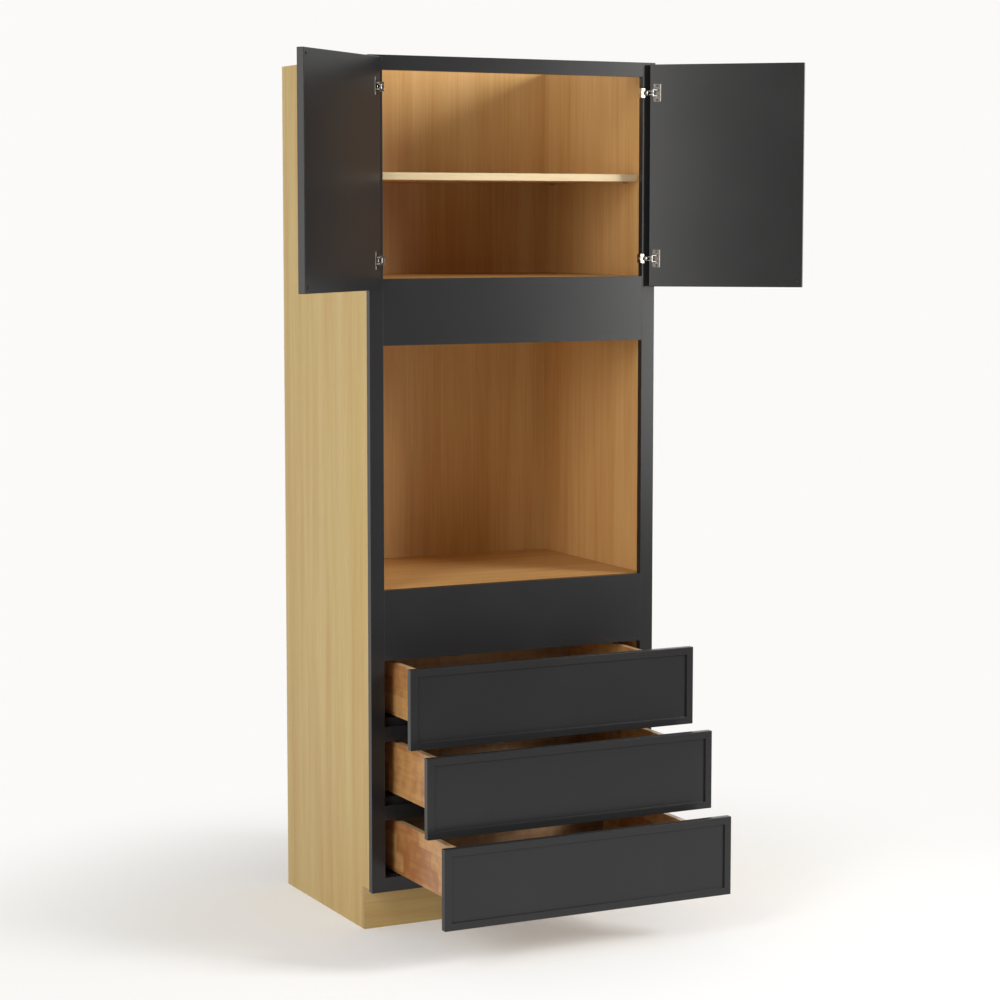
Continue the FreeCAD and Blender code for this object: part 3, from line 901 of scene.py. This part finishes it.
# %% Floor and world
STUDIO_WHITE = rgb(251, 250, 248)
FLOOR_HALF = 30.0
FLOOR_LIFT = 0.24
FLOOR_BOUNCE = [0.80, 0.79, 0.77, 1.0]
FLOOR_SHOWN = [1.04, 1.05, 1.07, 1.0]
FLOOR_DIM = 0.10
SHADOW_MIDDLE = (0.0, -0.90, 0.0)
SHADOW_REACH = (0.9, 2.1)
DIM_REACH = (2.0, 4.5)
AMBIENT = rgb(255, 252, 247)
BEHIND = (-0.1, 0.3)
LEFTWARDS = (0.2, 0.9)
FRONT_LEVEL = 0.08
TOP_LEVEL = 0.45
LEFT_LEVEL = 0.25


def ray_is(finish, kind):
    return finish.add("ShaderNodeLightPath", output=f"Is {kind} Ray")


def studio_floor():
    material, finish = new_finish("studio_floor")
    where = finish.add("ShaderNodeVectorMath", {"operation": "DISTANCE"},
                       {0: place(finish), 1: SHADOW_MIDDLE}, output="Value")
    shown = ray_is(finish, "Camera") + ray_is(finish, "Glossy") + ray_is(finish, "Transmission")
    shown = shown.ramp(0.0, 1.0)
    lift = (FLOOR_LIFT + (1 - FLOOR_LIFT) * where.ramp(*SHADOW_REACH)) * shown
    near = finish.add("ShaderNodeBsdfDiffuse", {}, {"Color": shown.tint(FLOOR_BOUNCE, FLOOR_SHOWN)})
    white = finish.add("ShaderNodeEmission", {}, {"Color": STUDIO_WHITE, "Strength": 1.0})
    pale = finish.add("ShaderNodeMixShader", {}, {0: lift, 1: near, 2: white})
    in_front = (0 - along(place(finish), AXES.index("Y"))).ramp(*DIM_REACH)
    dark = finish.add("ShaderNodeEmission", {}, {"Color": STUDIO_WHITE, "Strength": FLOOR_DIM})
    mirrored = in_front * ray_is(finish, "Glossy")
    surface = finish.add("ShaderNodeMixShader", {}, {0: mirrored, 1: pale, 2: dark})
    finish.add("ShaderNodeOutputMaterial", {}, {"Surface": surface})
    return material


bpy.ops.object.select_all(action="DESELECT")
bpy.ops.mesh.primitive_plane_add(size=2 * FLOOR_HALF, location=(0, 0, 0))
floor = bpy.context.object
floor.name = "studio_floor"
floor.data.materials.append(studio_floor())

world = bpy.data.worlds.new("studio")
bpy.context.scene.world = world
world.use_nodes = True
world.node_tree.nodes.clear()
air = Wire(world.node_tree)
look = air.add("ShaderNodeTexCoord", output="Generated")
right, back, up = [along(look, number) for number in range(3)]
behind = back.ramp(*BEHIND)
left_wall = (0 - right).ramp(*LEFTWARDS)
level = FRONT_LEVEL + LEFT_LEVEL * left_wall + TOP_LEVEL * up.ramp(0.0, 1.0)
ambient = air.add("ShaderNodeBackground", {}, {"Color": AMBIENT, "Strength": level})
backdrop = air.add("ShaderNodeBackground", {}, {"Color": STUDIO_WHITE, "Strength": 1.0})
shown = ray_is(air, "Camera") + ray_is(air, "Transmission") + ray_is(air, "Glossy") * behind
sky = air.add("ShaderNodeMixShader", {}, {0: shown.ramp(0.0, 1.0), 1: ambient, 2: backdrop})
air.add("ShaderNodeOutputWorld", {}, {"Surface": sky})
print("floor", 2 * FLOOR_HALF, "m across, surroundings from", FRONT_LEVEL, "to", FRONT_LEVEL + LEFT_LEVEL)

# %% [markdown]
# ## Lamps
# A large soft lamp stands in front on the right, low enough to reach into the open bays. A tall panel of
# light stands on the left and lights the bare side of the carcass. Two cards, which only show as reflections,
# draw the sheen on the dark paint, and the large lamp itself is kept out of reflections. Lamp power grows
# with the square of the distance, so each is set by how bright white card would look where the cabinet stands.

# %% Place the lamps
def soft_lamp(name, target, direction, distance, width, height, level, colour):
    """An area lamp that lights white card at the target to the given level."""
    lamp = bpy.data.lights.new(name, "AREA")
    lamp.shape = "RECTANGLE"
    lamp.size = width
    lamp.size_y = height
    lamp.color = colour
    lamp.energy = level * (math.pi * distance) ** 2
    holder = bpy.data.objects.new(name, lamp)
    bpy.context.scene.collection.objects.link(holder)
    way = Vector(direction).normalized()
    holder.location = Vector(target) + way * distance
    holder.rotation_euler = way.to_track_quat("Z", "Y").to_euler()
    return holder


TARGET = Vector((0.0, -0.5, 1.15))
LAMP_WHITE = (1.0, 0.99, 0.97)
right_lamp = soft_lamp("right_lamp", TARGET, direction=(1.06, -1.0, 0.47), distance=7.0,
                       width=2.3, height=2.2, level=0.90, colour=LAMP_WHITE)
left_lamp = soft_lamp("left_lamp", TARGET, direction=(-1.0, -0.70, 0.34), distance=6.0,
                      width=1.8, height=4.6, level=0.45, colour=LAMP_WHITE)
right_card = soft_lamp("right_card", TARGET, direction=(0.84, -1.0, 0.18), distance=7.0,
                       width=2.0, height=3.2, level=0.36, colour=LAMP_WHITE)
left_card = soft_lamp("left_card", TARGET, direction=(-1.0, -0.22, 0.08), distance=6.0,
                      width=2.2, height=3.6, level=0.24, colour=LAMP_WHITE)
right_lamp.visible_glossy = False
right_card.visible_diffuse = False
left_card.visible_diffuse = False
lamps = (right_lamp, left_lamp, right_card, left_card)
for lamp in lamps:
    lamp.visible_camera = False
print("lamps", [(lamp.name, round(lamp.data.energy), "W") for lamp in lamps])

# %% [markdown]
# ## Camera
# The view is from the front left at eye height, through a long lens that is turned a little down. The lens
# shift stays very small, because a larger one would push the cabinet out of the picture in views from other
# sides.

# %% Set the camera
EYE = Vector((-3.1169, -6.7405, 1.8680))
TURN = math.radians(26.412)
PITCH = math.radians(5.686)
LENS = 94.036
SENSOR = 36.0
SHIFT = (0.0089, -0.02)

lens = bpy.data.cameras.new("camera")
lens.lens = LENS
lens.sensor_width = SENSOR
lens.shift_x, lens.shift_y = SHIFT
camera = bpy.data.objects.new("camera", lens)
camera.location = EYE
camera.rotation_euler = (math.pi / 2 - PITCH, 0.0, -TURN)
bpy.context.scene.collection.objects.link(camera)
bpy.context.scene.camera = camera
bpy.context.scene.view_settings.view_transform = "Standard"
print("camera", [round(value, 2) for value in EYE], "lens", LENS)

# %% [markdown]
